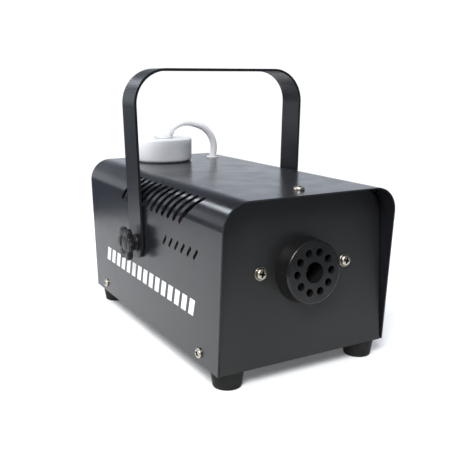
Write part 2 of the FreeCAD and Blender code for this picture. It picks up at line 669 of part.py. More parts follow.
def make_switch():
    x, y, z = column_x, rear_face, switch_z
    bezel = rounded(box((x - 7.5, y, z - 10.5), (x + 7.5, y + 2, z + 10.5)), 1.2, along((0, 1, 0)))
    shell = box((x - 6.5, y - 19, z - 9.5), (x + 6.5, y, z + 9.5))
    tabs = [box((x - 3, y - 26, z + dz - 0.4), (x + 3, y - 18.9, z + dz + 0.4)) for dz in (-5, 5)]
    well = box((x - 5.4, y - 10, z - 8.7), (x + 5.4, y + 3, z + 8.7))
    nodes["switch_body"] = bezel.fuse([shell] + tabs).cut(well)
    half_high = 7.9
    outline = [(4.6, -half_high), (3.6, 0), (4.6, half_high), (-1.5, half_high), (-6, 3.0),
               (-6, -3.0), (-1.5, -half_high)]
    px, py, pz = rocker_pivot
    corners = [(px - 5.0, py + dy, pz + dz) for dy, dz in outline]
    rocker = rounded(prism(corners, (10, 0, 0)), 0.5, lambda e: e.BoundBox.YMin > py + 4)
    rocker.rotate(Vector(*rocker_pivot), Vector(1, 0, 0), -rocker_swing)
    nodes["switch_rocker"] = rocker


lead_end_z = nozzle_z - element_drop
relay_top = board_top + 15.6
lead_routes = {
    "mains_lead": (2.6, [(column_x, rear_face - 21.1, 40), (column_x, 90.1, 40), (43.1, 74, 38.3),
                         (35, 59.2, 35.7), (24.4, 46.2, 33), (11.3, 35.6, 30.3), (-4, 29, 28.5),
                         (-11.9, 29, 28.5)]),
    "pump_lead": (1.3, [(pump_x - 14.6, pump_y, 56), (25.7, pump_y, 56), (19.3, 19.8, 53.1),
                        (14, 19.4, 48.3), (8.8, 19, 42.3), (3.5, 18.6, 36.2), (-1.8, 18.2, 31.4),
                        (-8.2, 18, 28.5), (-11.9, 18, 28.5)]),
    "thermostat_lead": (1.3, [(-46, 30, relay_top), (-46, 30, 44.6), (-48.3, 25.2, 57.7),
                              (-51.3, 17.6, 69.6), (-54.3, 8.1, 80.2), (-56.1, -2.4, 88.6),
                              (-56.1, -14.4, 94.3), (-56.3, -28.4, 98.3), (-55.3, -42.6, 100.9),
                              (-53.1, -56.6, 102.6), (-48.4, -69.8, 103.6), (-39.9, -80.6, 104),
                              (-27.7, -86, 104), (-20, -86, 104)]),
    "thermostat_link_lead": (1.3, [(-10, -86, 103.5), (-7, -86, 103.5), (-1.9, -86, 104.9),
                                   (1.9, -86, 104.9), (7, -86, 103.5), (10, -86, 103.5)]),
    "element_lead_right": (1.3, [(20, -86, 104), (26.3, -86, 104), (36.1, -81.1, 102.7),
                                 (42.3, -71.9, 99.7), (45.3, -61.1, 95.7), (46.3, -50.1, 90.2),
                                 (46.5, -39.5, 84.8), (45, -28.5, 80), (40, -18, 76.5),
                                 (32, -11, 72.5), (24.5, -11.5, 68.2),
                                 (element_x, -17.5, lead_end_z), (element_x, -25.9, lead_end_z)]),
    "element_lead_left": (1.3, [(-element_x, -25.9, lead_end_z), (-element_x, -17.4, lead_end_z),
                                (-23.4, -10.5, 68.2), (-31.9, -10, 73.5), (-41.5, -10.2, 81.1),
                                (-48.7, -7.5, 89.1), (-51.4, 0.3, 92.7), (-50.6, 10.5, 88.4),
                                (-48, 17.7, 81.3), (-45.2, 23, 72.8), (-42.8, 26.6, 63.4),
                                (-41, 28.9, 53.5), (-40, 30, 43.4), (-40, 30, relay_top)]),
}


def make_leads():
    for name, (radius, route) in lead_routes.items():
        nodes[name] = tube(name, route, radius)
    heater_leads = ("thermostat_lead", "thermostat_link_lead", "element_lead_right",
                    "element_lead_left")
    nodes["heater_leads"] = group([nodes.pop(name) for name in heater_leads])


# ---- handle and its knobs ----------------------------------------------------------------
def handle_outline(inset, low_z):
    """Prism across the handle's width, following the outer face of the strip, inset from it."""
    near = half_width + handle_gap_low + handle_strip - inset
    far = half_width + handle_gap_high + handle_strip - inset
    top = handle_z + handle_rise - inset
    knee = handle_z + 14
    points = [(-near, low_z), (-near, knee), (-far, top), (far, top), (near, knee), (near, low_z)]
    y0 = handle_y - handle_width / 2
    solid = prism([(x, y0, z) for x, z in points], (0, handle_width, 0))
    return rounded(solid, handle_corner - inset, lambda e: along((0, 1, 0))(e) and flat_at(2, top)(e))


def make_handle():
    low = handle_z - handle_width / 2
    strip = handle_outline(0, low).cut(handle_outline(handle_strip, low - 1))
    half = handle_width / 2
    edges = [
        line((-90, handle_y - half, handle_z), (-90, handle_y - half, handle_z + 150)),
        line((-90, handle_y - half, handle_z + 150), (-90, handle_y + half, handle_z + 150)),
        line((-90, handle_y + half, handle_z + 150), (-90, handle_y + half, handle_z)),
        Part.Arc(Vector(-90, handle_y + half, handle_z), Vector(-90, handle_y, handle_z - half),
                 Vector(-90, handle_y - half, handle_z)).toShape(),
    ]
    strip = strip.common(Part.Face(Part.Wire(edges)).extrude(Vector(180, 0, 0)))
    pivot_hole = rod((-90, handle_y, handle_z), (1, 0, 0), 3.3, 180)
    hanging_hole = rod((0, handle_y, handle_z + handle_rise - 5), (0, 0, 1), 5.25, 10)
    nodes["handle"] = strip.cut([pivot_hole, hanging_hole])


def make_knob(side_name, sx):
    """Six-lobed clamping knob with its stud, turning about X."""
    start = half_width + handle_gap_low + handle_strip + 0.1
    hub = Part.makeCylinder(6.6, 6.0, Vector(0, 0, start))
    head = Part.makeCylinder(10.6, 4.6, Vector(0, 0, start + 5.4))
    for k in range(6):
        angle = radians(60 * k + 30)
        head = head.fuse(Part.makeCylinder(4.0, 4.6, Vector(10.0 * cos(angle), 10.0 * sin(angle),
                                                              start + 5.4)))
    head = head.removeSplitter()
    head = rounded(head, 1.0, lambda e: flat_at(2, start + 10.0)(e) or flat_at(2, start + 5.4)(e))
    stud = Part.makeCylinder(2.95, 15.0, Vector(0, 0, start - 9.5))
    knob = hub.fuse([head, stud])
    knob.Placement = Placement(Vector(0, handle_y, handle_z), Rotation(Vector(0, 1, 0), 90 * sx))
    nodes["knob_" + side_name] = knob


def make_handle_fittings():
    washers, nuts = [], []
    for sx in (-1, 1):
        washers.append(ring((sx * (half_width + 0.1), handle_y, handle_z), (sx, 0, 0), 9.0, 3.3, 0.6))
        nut = hexagon((sx * (half_width - sheet), handle_y, handle_z), (-sx, 0, 0), 12, 6)
        nuts.append(nut.cut(rod((sx * half_width, handle_y, handle_z), (-sx, 0, 0), 3.04, 12)))
    nodes["handle_washers"] = group(washers)
    nodes["handle_nuts"] = group(nuts)


# ---- build everything and write it -------------------------------------------------------
nodes["top_cover"] = make_cover()
nodes["chassis"] = make_chassis()
make_feet()
make_case_fasteners()
make_nozzle_cap()
make_nozzle()
make_heater()
make_heater_brackets()
make_insulation()
make_thermostats()
make_heat_shield()
make_tank()
make_tank_cap()
make_cap_elbow()
make_hoses()
make_pump()
make_board()
make_rear_sockets()
make_switch()
make_leads()
make_handle()
make_knob("left", -1)
make_knob("right", 1)
make_handle_fittings()

for name, shape in nodes.items():
    if not shape.isValid():
        print("not valid:", name)
    shape.exportStep("parts/%s.step" % name)
print(len(nodes), "nodes written")
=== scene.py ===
import bpy
import bmesh
import math
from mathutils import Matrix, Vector


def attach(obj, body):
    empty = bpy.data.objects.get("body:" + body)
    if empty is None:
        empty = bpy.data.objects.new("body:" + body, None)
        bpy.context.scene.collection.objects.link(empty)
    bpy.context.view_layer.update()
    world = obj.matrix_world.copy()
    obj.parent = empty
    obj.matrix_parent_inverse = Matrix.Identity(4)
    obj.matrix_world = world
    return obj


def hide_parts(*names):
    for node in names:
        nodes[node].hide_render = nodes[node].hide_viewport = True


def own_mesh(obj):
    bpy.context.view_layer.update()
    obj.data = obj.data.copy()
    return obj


# A small fog machine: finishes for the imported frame, finer pieces in place of some nodes, a studio.
# Shapes are given in mm in the part's own frame, +Z up and -Y to the front; MM makes them metres.

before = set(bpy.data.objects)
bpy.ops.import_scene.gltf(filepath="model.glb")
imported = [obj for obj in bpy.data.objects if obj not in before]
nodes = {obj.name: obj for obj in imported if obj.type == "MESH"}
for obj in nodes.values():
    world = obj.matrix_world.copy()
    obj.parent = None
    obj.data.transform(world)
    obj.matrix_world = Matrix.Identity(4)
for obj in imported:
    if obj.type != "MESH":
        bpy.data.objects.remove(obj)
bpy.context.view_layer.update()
MM = 0.001
SHARP = math.radians(40)
NOISE_ROUGHNESS = 0.55
NOISE_MIDDLE = (0.3, 0.7)


# ---- node helpers ------------------------------------------------------------------------
class Tree:
    """A material's node tree with short ways to add and join nodes."""

    def __init__(self, name):
        self.material = bpy.data.materials.new(name)
        self.material.use_nodes = True
        self.nodes = self.material.node_tree.nodes
        self.links = self.material.node_tree.links
        self.shader = self.nodes["Principled BSDF"]
        self.coords = self.nodes.new("ShaderNodeTexCoord").outputs["Object"]

    def join(self, source, target):
        self.links.new(source, target)

    def mapped(self, scale):
        node = self.nodes.new("ShaderNodeMapping")
        node.inputs["Scale"].default_value = scale
        self.join(self.coords, node.inputs["Vector"])
        return node.outputs["Vector"]

    def noise(self, scale, detail=3.0, coords=None):
        node = self.nodes.new("ShaderNodeTexNoise")
        node.inputs["Scale"].default_value = scale
        node.inputs["Detail"].default_value = detail
        node.inputs["Roughness"].default_value = NOISE_ROUGHNESS
        self.join(coords or self.coords, node.inputs["Vector"])
        return node.outputs["Fac"]

    def voronoi(self, scale, feature="F1"):
        node = self.nodes.new("ShaderNodeTexVoronoi")
        node.feature = feature
        node.inputs["Scale"].default_value = scale
        self.join(self.coords, node.inputs["Vector"])
        return node.outputs["Distance"]

    def wave(self, scale, direction, distortion, coords=None):
        node = self.nodes.new("ShaderNodeTexWave")
        node.bands_direction = direction
        node.inputs["Scale"].default_value = scale
        node.inputs["Distortion"].default_value = distortion
        self.join(coords or self.coords, node.inputs["Vector"])
        return node.outputs["Fac"]

    def span(self, value, low, high, from_low=0.0, from_high=1.0):
        node = self.nodes.new("ShaderNodeMapRange")
        node.inputs["From Min"].default_value = from_low
        node.inputs["From Max"].default_value = from_high
        node.inputs["To Min"].default_value = low
        node.inputs["To Max"].default_value = high
        self.join(value, node.inputs["Value"])
        return node.outputs["Result"]

    def drift(self, noise, low=0.0, high=1.0):
        """Noise spread over low to high: it seldom leaves the middle of its own range."""
        return self.span(noise, low, high, *NOISE_MIDDLE)

    def math(self, kind, a, b):
        node = self.nodes.new("ShaderNodeMath")
        node.operation = kind
        for socket, value in zip(node.inputs, (a, b)):
            if isinstance(value, (int, float)):
                socket.default_value = value
            else:
                self.join(value, socket)
        return node.outputs["Value"]

    def blend(self, factor, low, high):
        node = self.nodes.new("ShaderNodeMix")
        node.data_type = "RGBA"
        for socket, value in ((node.inputs[0], factor), (node.inputs[6], low), (node.inputs[7], high)):
            if isinstance(value, tuple):
                socket.default_value = (*value, 1.0)
            elif isinstance(value, (int, float)):
                socket.default_value = value
            else:
                self.join(value, socket)
        return node.outputs[2]

    def colour(self, value):
        self.join(value, self.shader.inputs["Base Color"])

    def roughness(self, value):
        self.join(value, self.shader.inputs["Roughness"])

    def bump(self, height, strength, distance):
        node = self.nodes.new("ShaderNodeBump")
        node.inputs["Strength"].default_value = strength
        node.inputs["Distance"].default_value = distance
        self.join(height, node.inputs["Height"])
        previous = self.shader.inputs["Normal"].links
        if previous:
            self.join(previous[0].from_socket, node.inputs["Normal"])
        self.join(node.outputs["Normal"], self.shader.inputs["Normal"])

    def set(self, **values):
        for name, value in values.items():
            self.shader.inputs[name.replace("_", " ")].default_value = value


def two_tone(name, low, high, patch, rough, fine, strength, distance, **sockets):
    """Colour drifting between two tones, roughness with it, and one fine bump."""
    tree = Tree(name)
    tree.colour(tree.blend(tree.drift(tree.noise(patch, 4.0)), low, high))
    tree.roughness(tree.drift(tree.noise(patch * 2.3), *rough))
    tree.bump(tree.noise(fine), strength, distance)
    tree.set(**sockets)
    return tree.material


def powder_coat(name, low, high, rough, peel):
    """Black powder coat: orange peel, a finer grain in it, and a little settled dust."""
    tree = Tree(name)
    base = tree.blend(tree.drift(tree.noise(14.0, 5.0)), low, high)
    grain = tree.noise(2600.0, 2.0)
    speck = tree.span(tree.voronoi(1500.0), 0.35, 0.0, 0.0, 0.11)
    dust = (0.032, 0.032, 0.034)
    tree.colour(tree.blend(tree.math("MULTIPLY", speck, grain), base, dust))
    tree.roughness(tree.drift(tree.noise(55.0, 4.0), *rough))
    tree.bump(tree.noise(850.0, 2.0), peel, 0.0001)
    tree.bump(grain, peel * 0.4, 0.00004)
    tree.set(Specular_IOR_Level=0.34)
    return tree.material


def metal(name, low, high, rough, fine, strength=0.12, stretch=(1, 1, 1)):
    """Bare metal in two tones; a stretch other than 1 brushes it along one way."""
    tree = Tree(name)
    brushed = tree.mapped(stretch)
    tree.colour(tree.blend(tree.drift(tree.noise(120.0, 4.0)), low, high))
    tree.roughness(tree.drift(tree.noise(fine * 0.4, 4.0, brushed), *rough))
    tree.bump(tree.noise(fine, coords=brushed), strength, 0.00006)
    tree.set(Metallic=1.0)
    return tree.material


case_paint = powder_coat("case_paint", (0.0070, 0.0073, 0.0090), (0.0105, 0.0108, 0.0128),
                         (0.20, 0.26), 0.03)
panel_paint = powder_coat("panel_paint", (0.0085, 0.0085, 0.0085), (0.012, 0.012, 0.012),
                          (0.34, 0.42), 0.04)
handle_paint = powder_coat("handle_paint", (0.0060, 0.0062, 0.0078), (0.0095, 0.0097, 0.0115),
                           (0.33, 0.36), 0.002)
nickel = metal("nickel", (0.40, 0.36, 0.29), (0.52, 0.48, 0.41), (0.26, 0.38), 2200.0)
# painted shade: a near-black metal for the deep part of the screws' cross recesses, standing in for
# the shade there
recess_painted_shade = metal("recess_painted_shade", (0.015, 0.013, 0.010), (0.04, 0.035, 0.03), (0.55, 0.70), 1600.0)
# painted shade: the nozzle tip's brass made dark for the shade deep in the guard's centre hole
shaded_tip_brass = metal("shaded_tip_brass", (0.10, 0.07, 0.035), (0.17, 0.12, 0.06), (0.30, 0.45), 1800.0, 0.2)
zinc = metal("zinc", (0.50, 0.51, 0.52), (0.66, 0.66, 0.65), (0.32, 0.48), 1500.0, 0.2, (1, 6, 1))
brass = metal("brass", (0.60, 0.42, 0.17), (0.72, 0.53, 0.26), (0.22, 0.38), 1800.0, 0.15)
cast = metal("cast_aluminium", (0.42, 0.42, 0.41), (0.58, 0.58, 0.57), (0.48, 0.62), 700.0, 0.6)

nozzle_plastic = two_tone("nozzle_plastic", (0.007, 0.007, 0.007), (0.011, 0.011, 0.011), 60.0,
                          (0.17, 0.25), 1400.0, 0.04, 0.00005, Specular_IOR_Level=0.27)
moulded_black = two_tone("moulded_black", (0.005, 0.005, 0.0055), (0.009, 0.009, 0.0095), 90.0,
                         (0.32, 0.44), 2400.0, 0.14, 0.00008, Specular_IOR_Level=0.26)
rubber = two_tone("rubber", (0.006, 0.006, 0.006), (0.011, 0.011, 0.0105), 80.0,
                  (0.62, 0.78), 1600.0, 0.3, 0.0001, Specular_IOR_Level=0.2)
white_poly = two_tone("white_polyethylene", (0.83, 0.83, 0.85), (0.89, 0.89, 0.91), 45.0,
                      (0.30, 0.40), 900.0, 0.12, 0.00012, Subsurface_Weight=0.5,
                      Subsurface_Radius=(0.008, 0.008, 0.008), Subsurface_Scale=1.0)
tank_poly = two_tone("tank_polyethylene", (0.66, 0.68, 0.68), (0.76, 0.78, 0.77), 30.0,
                     (0.36, 0.48), 500.0, 0.2, 0.0002, Subsurface_Weight=0.3,
                     Subsurface_Radius=(0.005, 0.005, 0.005))
silicone = two_tone("silicone", (0.90, 0.90, 0.91), (0.96, 0.96, 0.97), 160.0,
                    (0.14, 0.22), 500.0, 0.08, 0.0001, Transmission_Weight=0.12, IOR=1.41,
                    Subsurface_Weight=0.5, Subsurface_Radius=(0.004, 0.004, 0.004))
red_wire = two_tone("red_wire", (0.42, 0.02, 0.015), (0.60, 0.04, 0.03), 200.0,
                    (0.34, 0.46), 900.0, 0.1, 0.0001)
relay_blue = two_tone("relay_blue", (0.02, 0.09, 0.30), (0.03, 0.12, 0.38), 120.0,
                      (0.28, 0.38), 1500.0, 0.1, 0.00006)
terminal_green = two_tone("terminal_green", (0.06, 0.26, 0.12), (0.09, 0.34, 0.17), 120.0,
                          (0.40, 0.52), 1500.0, 0.12, 0.00006)
phenolic = two_tone("phenolic", (0.09, 0.035, 0.02), (0.15, 0.06, 0.03), 150.0,
                    (0.30, 0.42), 1200.0, 0.15, 0.00008)
print_white = two_tone("print_white", (0.70, 0.70, 0.69), (0.80, 0.80, 0.79), 220.0,
                       (0.42, 0.54), 2000.0, 0.15, 0.00005)


def glass_wool():
    tree = Tree("glass_wool")
    weave = tree.math("MULTIPLY", tree.wave(320.0, "X", 0.4), tree.wave(320.0, "Y", 0.4))
    tree.colour(tree.blend(weave, (0.46, 0.44, 0.38), (0.72, 0.70, 0.62)))
    tree.roughness(tree.span(weave, 0.95, 0.8))
    tree.bump(weave, 0.6, 0.0004)
    tree.set(Sheen_Weight=0.2)
    return tree.material


def circuit_board():
    tree = Tree("circuit_board")
    tracks = tree.span(tree.voronoi(190.0, "DISTANCE_TO_EDGE"), 1.0, 0.0, 0.03, 0.08)
    tree.colour(tree.blend(tracks, (0.012, 0.10, 0.05), (0.03, 0.24, 0.11)))
    tree.roughness(tree.span(tree.noise(200.0), 0.26, 0.4))
    tree.bump(tracks, 0.3, 0.00008)
    return tree.material


def wound_coil():
    tree = Tree("wound_coil")
    turns = tree.wave(420.0, "Z", 0.6)
    tree.colour(tree.blend(turns, (0.16, 0.06, 0.02), (0.40, 0.18, 0.06)))
    tree.roughness(tree.span(turns, 0.45, 0.25))
    tree.bump(turns, 0.5, 0.0003)
    return tree.material


def braided_sleeve():
    tree = Tree("braided_sleeve")
    braid = tree.math("MULTIPLY", tree.wave(260.0, "DIAGONAL", 0.5),
                      tree.wave(260.0, "DIAGONAL", 0.5, tree.mapped((-1, 1, 1))))
    tree.colour(tree.blend(braid, (0.10, 0.10, 0.11), (0.26, 0.26, 0.27)))
    tree.roughness(tree.span(braid, 0.85, 0.65))
    tree.bump(braid, 0.5, 0.0003)
    return tree.material


def fuse_glass():
    tree = Tree("fuse_glass")
    tree.colour(tree.blend(tree.noise(300.0), (0.85, 0.90, 0.90), (0.92, 0.95, 0.95)))
    tree.roughness(tree.span(tree.noise(500.0), 0.05, 0.12))
    tree.set(Transmission_Weight=0.8, IOR=1.5)
    return tree.material


# ---- materials of the frame's nodes -------------------------------------------------
finishes = {
    case_paint: ["top_cover"],
    panel_paint: ["chassis"],
    handle_paint: ["handle"],
    nickel: ["side_screws", "roof_screw", "front_screws", "front_screw_washers"],
    # the nozzle tip: brass darkened as painted shade
    shaded_tip_brass: ["nozzle"],
    zinc: ["foot_screws", "foot_nuts", "handle_nuts", "heat_shield", "heater_brackets",
           "heater_screws", "heating_element", "tank_tray", "pump_yoke", "pump_bracket",
           "pump_plunger", "pump_spring"],
    brass: ["vapour_tube", "heater_inlet_fitting", "pump_core_tube",
            "pump_inlet_head", "inlet_pins"],
    cast: ["heater_block"],
    nozzle_plastic: ["nozzle_cap", "power_inlet", "switch_body", "switch_rocker",
                     "fuse_holder", "fuse_cap", "remote_socket"],
    moulded_black: ["pump_valve_body", "knob_left", "knob_right"],
    rubber: ["rubber_feet", "pump_mounts", "handle_washers", "cap_gasket"],
    white_poly: ["tank_cap", "cap_elbow", "roof_grommet", "pickup_tube", "pickup_filter",
                 "board_posts"],
    tank_poly: ["tank_bottle"],
    silicone: ["supply_hose", "pump_inlet_hose"],
    red_wire: ["heater_leads", "pump_lead"],
    relay_blue: ["relay"],
    terminal_green: ["terminal_block"],
    phenolic: ["thermostats"],
    glass_wool(): ["heater_insulation"],
    circuit_board(): ["circuit_board"],
    wound_coil(): ["pump_coil"],
    braided_sleeve(): ["mains_lead"],
    fuse_glass(): ["fuse"],
}
for material, names in finishes.items():
    for name in names:
        for material_slot in nodes[name].material_slots:
            material_slot.material = material


# ---- broken edges on sheet metal and mouldings, so that they catch the light --------------
for name, width in (("nozzle_cap", 0.35), ("top_cover", 0.22), ("handle", 0.3)):
    bevel = nodes[name].modifiers.new("broken_edges", "BEVEL")
    bevel.width = width * MM
    bevel.segments = 2
    bevel.limit_method = "ANGLE"
    bevel.angle_limit = SHARP
    bevel.harden_normals = True


# ---- geometry helpers --------------------------------------------------------------------
def new_piece(name, bm, material, body, smooth=True):
    """Turns a finished bmesh into a piece that rides on a body."""
    mesh = bpy.data.meshes.new(name)
    bmesh.ops.recalc_face_normals(bm, faces=bm.faces)
    bm.to_mesh(mesh)
    bm.free()
    piece = bpy.data.objects.new(name, mesh)
    bpy.context.scene.collection.objects.link(piece)
    mesh.materials.append(material)
    if smooth:
        for polygon in mesh.polygons:
            polygon.use_smooth = True
        mesh.set_sharp_from_angle(angle=SHARP)
    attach(piece, body)
    return piece


def loft(bm, rings, closed=False):
    """Joins rings of equally many points into one skin: capped at both ends, or closed on itself."""
    rows = [[bm.verts.new(point) for point in ring] for ring in rings]
    count = len(rows[0])
    for lower, upper in zip(rows, rows[1:] + rows[:1] if closed else rows[1:]):
        for k in range(count):
            bm.faces.new((lower[k], lower[(k + 1) % count], upper[(k + 1) % count], upper[k]))
    if not closed:
        bm.faces.new(rows[0][::-1])
        bm.faces.new(rows[-1])


def ring_angles(count):
    return [2 * math.pi * k / count for k in range(count)]


def frame_on(axis):
    """Two directions square to an axis and to each other."""
    axis = Vector(axis).normalized()
    side = axis.orthogonal().normalized()
    return side, axis.cross(side)


def turned(bm, profile, centre, axis, closed=False, segments=96):
    """Solid of revolution from (radius, height) pairs in mm along an axis through centre."""
    side, other = frame_on(axis)
    rings = []
    for radius, height in profile:
        middle = Vector(centre) + Vector(axis).normalized() * height
        rings.append([(middle + (side * math.cos(t) + other * math.sin(t)) * radius) * MM
                      for t in ring_angles(segments)])
    loft(bm, rings, closed)


# ---- camera ------------------------------------------------------------------------------
azimuth, elevation = math.radians(-29.479), math.radians(12.711)
distance, lens = 0.56812, 52.93
target = Vector((0.00593, 0.0, 0.08116))
camera_data = bpy.data.cameras.new("camera")
camera_data.lens = lens
camera_data.sensor_width = 36.0
camera_data.clip_start = 0.01
camera = bpy.data.objects.new("camera", camera_data)
bpy.context.scene.collection.objects.link(camera)
level = math.cos(elevation)
backward = Vector((math.sin(azimuth) * level, -math.cos(azimuth) * level, math.sin(elevation)))
camera.location = target + backward * distance
camera.rotation_mode = "QUATERNION"
camera.rotation_quaternion = (-backward).to_track_quat("-Z", "Y")
bpy.context.scene.camera = camera


# ---- supply hose -------------------------------------------------------------------------
cap_x, cap_y = -12.0, 92.5
spout_tip = (-4.3, 159.2)
hose_points = [spout_tip, (3.6, 164.3), (13.2, 165.3), (22.0, 163.2), (30.3, 159.8),
               (36.7, 153.8), (40.51, 145.96), (41.09, 137.38), (38.24, 129.27)]
hose_curve = bpy.data.curves.new("supply_hose_line", "CURVE")
hose_curve.dimensions = "3D"
hose_spline = hose_curve.splines.new("NURBS")
hose_spline.points.add(len(hose_points) - 1)
for spline_point, (x, z) in zip(hose_spline.points, hose_points):
    spline_point.co = (x * MM, cap_y * MM, z * MM, 1.0)
hose_spline.order_u = 3
hose_spline.use_endpoint_u = True
hose_spline.resolution_u = 12
hose_curve.bevel_depth = 3.1 * MM
hose_curve.bevel_resolution = 8
hose_curve.use_fill_caps = True
hose_curve.materials.append(silicone)
hose = bpy.data.objects.new("hose", hose_curve)
bpy.context.scene.collection.objects.link(hose)
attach(hose, "housing")
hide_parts("supply_hose")


# ---- tank cap and spout ------------------------------------------------------------------
cap_low, cap_top = 131.7, 151.7


def build_cap():
    """Hollow screw cap with a rounded foot, a raised rim and a hole for the spout's catch."""
    bm = bmesh.new()
    turned(bm, [(5.3, 18.0), (21.9, 18.0), (21.9, 0.0), (24.2, 0.0), (25.2, 0.4), (25.7, 1.2),
                (25.85, 2.4), (25.9, 6.0), (26.0, 14.0), (26.0, 18.8), (25.85, 19.5), (25.5, 19.9),
                (24.9, 20.0), (23.4, 20.0), (22.8, 19.7), (11.2, 19.7), (10.6, 20.0), (5.3, 20.0)],
           (cap_x, cap_y, cap_low), (0, 0, 1), closed=True, segments=128)
    return bm


def build_spout():
    """Swivel disc on its catch, and a flared spout that leans over from the disc to the hose."""
    bm = bmesh.new()
    turned(bm, [(5.0, -7.0), (5.0, -4.2), (7.5, -4.2), (7.5, -2.4), (5.0, -2.4), (5.0, 0.3),
                (8.2, 0.3), (8.8, 0.5), (9.0, 0.9), (8.8, 1.4), (8.2, 1.7), (5.0, 1.7)],
           (cap_x, cap_y, cap_top), (0, 0, 1))
    slope = math.radians(42)
    forward = Vector((math.cos(slope), 0, math.sin(slope)))
    upward = Vector((-math.sin(slope), 0, math.cos(slope)))
    tip = Vector((spout_tip[0], cap_y, spout_tip[1]))
    base_z = cap_top + 0.5
    rings = []
    for share, radius in ((0.0, 6.9), (0.12, 6.2), (0.28, 5.6), (0.48, 5.15), (0.70, 4.8),
                          (0.86, 4.55), (0.92, 4.8), (0.97, 4.8), (1.0, 4.4)):
        ring = []
        for turn in ring_angles(64):
            rise = math.cos(turn) * radius
            base = (tip.z - base_z + rise * math.cos(slope)) / math.sin(slope)
            point = tip - forward * base * (1 - share) + upward * rise
            ring.append((point + Vector((0, math.sin(turn) * radius, 0))) * MM)
        rings.append(ring)
    loft(bm, rings)
    return bm


cap = new_piece("screw_cap", build_cap(), white_poly, "tank_cap")
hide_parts("tank_cap")
spout = new_piece("spout", build_spout(), white_poly, "housing")
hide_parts("cap_elbow")


# ---- grommet where the hose goes through the roof ----------------------------------------
roof_z = 131.0
hose_hole_x = 38.9
grommet_mesh = bmesh.new()
turned(grommet_mesh, [(3.4, -2.6), (6.0, -2.6), (6.1, -1.4), (5.2, -1.0), (5.2, 0.0), (5.8, 0.05),
                      (5.9, 0.4), (5.4, 0.9), (4.2, 1.3), (3.4, 1.4)],
       (hose_hole_x, cap_y, roof_z), (0, 0, 1), closed=True)
grommet = new_piece("hose_grommet", grommet_mesh, white_poly, "housing")
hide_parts("roof_grommet")


# ---- star knobs --------------------------------------------------------------------------
handle_y, handle_z = 12.5, 77.0
knob_start = 73.9
lobe_count, lobe_centre, lobe_radius = 6, 10.0, 4.0
knob_body_radius, disc_radius = 10.9, 10.2
soft_join = 14


def lobed_radius(turn):
    """Outline of round lobes on a round body, softened where they meet."""
    half = math.pi / lobe_count
    offset = (turn + half) % (2 * half) - half
    reach = lobe_radius ** 2 - (lobe_centre * math.sin(offset)) ** 2
    lobe = lobe_centre * math.cos(offset) + math.sqrt(reach) if reach > 0 else 0.0
    return (lobe ** soft_join + knob_body_radius ** soft_join) ** (1 / soft_join)


def build_knob(sx):
    """Star knob on its stud: a collar, then rings of inset, height and how round the outline is."""
    bm = bmesh.new()
    out = Vector((sx, 0, 0))
    foot = (sx * knob_start, handle_y, handle_z)
    turned(bm, [(2.95, -9.5), (2.95, 0.0), (7.0, 0.0), (7.1, 0.3), (7.0, 0.9), (6.5, 1.4),
                (6.3, 5.6)], foot, out, segments=64)
    rings = []
    shape = [(2.0, 5.4, 0.0), (0.7, 5.45, 0.0), (0.15, 5.9, 0.0), (0.0, 6.5, 0.0),
             (0.0, 8.7, 0.0), (0.15, 9.3, 0.0), (0.6, 9.75, 0.0), (1.4, 9.97, 0.0),
             (2.4, 10.0, 0.0), (2.4, 10.0, 0.6), (2.4, 9.95, 1.0), (2.7, 9.2, 1.0),
             (4.2, 9.1, 1.0), (4.6, 9.5, 1.0), (5.6, 9.7, 1.0)]
    for inset, height, roundness in shape:
        ring = []
        for turn in ring_angles(144):
            radius = lobed_radius(turn) * (1 - roundness) + disc_radius * roundness - inset
            spoke = Vector((0, math.cos(turn), math.sin(turn)))
            ring.append((Vector(foot) + out * height + spoke * radius) * MM)
        rings.append(ring)
    loft(bm, rings)
    return bm


for side_name, sx in (("left", -1), ("right", 1)):
    knob = new_piece("star_knob_" + side_name, build_knob(sx), moulded_black,
                     "knob_" + side_name)
    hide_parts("knob_" + side_name)


# ---- screws with a cross recess, and their cup washers -----------------------------------
recess_turn = math.radians(28)
recess_reach, recess_depth = 2.7, 1.6
slot_half_width, slot_taper, slot_wall = 0.88, 0.16, 0.16
crown_fall, rim_fall = 0.10, 0.42
# recess faces deeper than this (mm) get the near-black painted-shade finish
painted_shade_below = 0.25
shank_radius, shank_length = 1.95, 6.0


def recess(x, y):
    """Depth of the cross recess at a point of the head, 0 outside it."""
    depth = 0.0
    for along, across in ((abs(x), abs(y)), (abs(y), abs(x))):
        width = slot_half_width - slot_taper * along
        edge = min(1.0, max(0.0, (width - across) / slot_wall))
        depth = max(depth, edge * max(0.0, 1 - (along / recess_reach) ** 4) * recess_depth)
    return depth


def screw_head(bm, seat, outward, radius, height):
    """Domed head as rings round its axis, pressed in where the driver goes; faces deep in the recess
    use slot 1, a near-black finish that paints the shade in the recess.
    """
    out = Vector(outward).normalized()
    side, other = frame_on(out)
    count, steps = 96, 34
    angles = ring_angles(count)

    rings, depths = [], []
    for radial, rise in ((shank_radius, -shank_length), (shank_radius, 0.0), (radius - 0.3, 0.0),
                         (radius, 0.25)):
        rings.append([(radial * math.cos(t), radial * math.sin(t), rise) for t in angles])
        depths.append([0.0] * count)
    for step in range(steps, 0, -1):
        reach = step / steps
        r = radius * step / steps
        dome = height * (1 - rim_fall * reach ** 8 - crown_fall * reach ** 2)
        ring_depths = [recess(r * math.cos(t - recess_turn), r * math.sin(t - recess_turn))
                       for t in angles]
        rings.append([(r * math.cos(t), r * math.sin(t), dome - depth)
                      for t, depth in zip(angles, ring_depths)])
        depths.append(ring_depths)
    before = len(bm.faces)
    loft(bm, [[(Vector(seat) + side * x + other * y + out * z) * MM for x, y, z in ring]
              for ring in rings])
    bm.faces.ensure_lookup_table()
    for row in range(len(rings) - 1):
        for k in range(count):
            if depths[row][k] > painted_shade_below or depths[row + 1][k] > painted_shade_below:
                bm.faces[before + row * count + k].material_index = 1
    # the centre of the cross recess gets the painted shade too
    bm.faces[len(bm.faces) - 1].material_index = 1


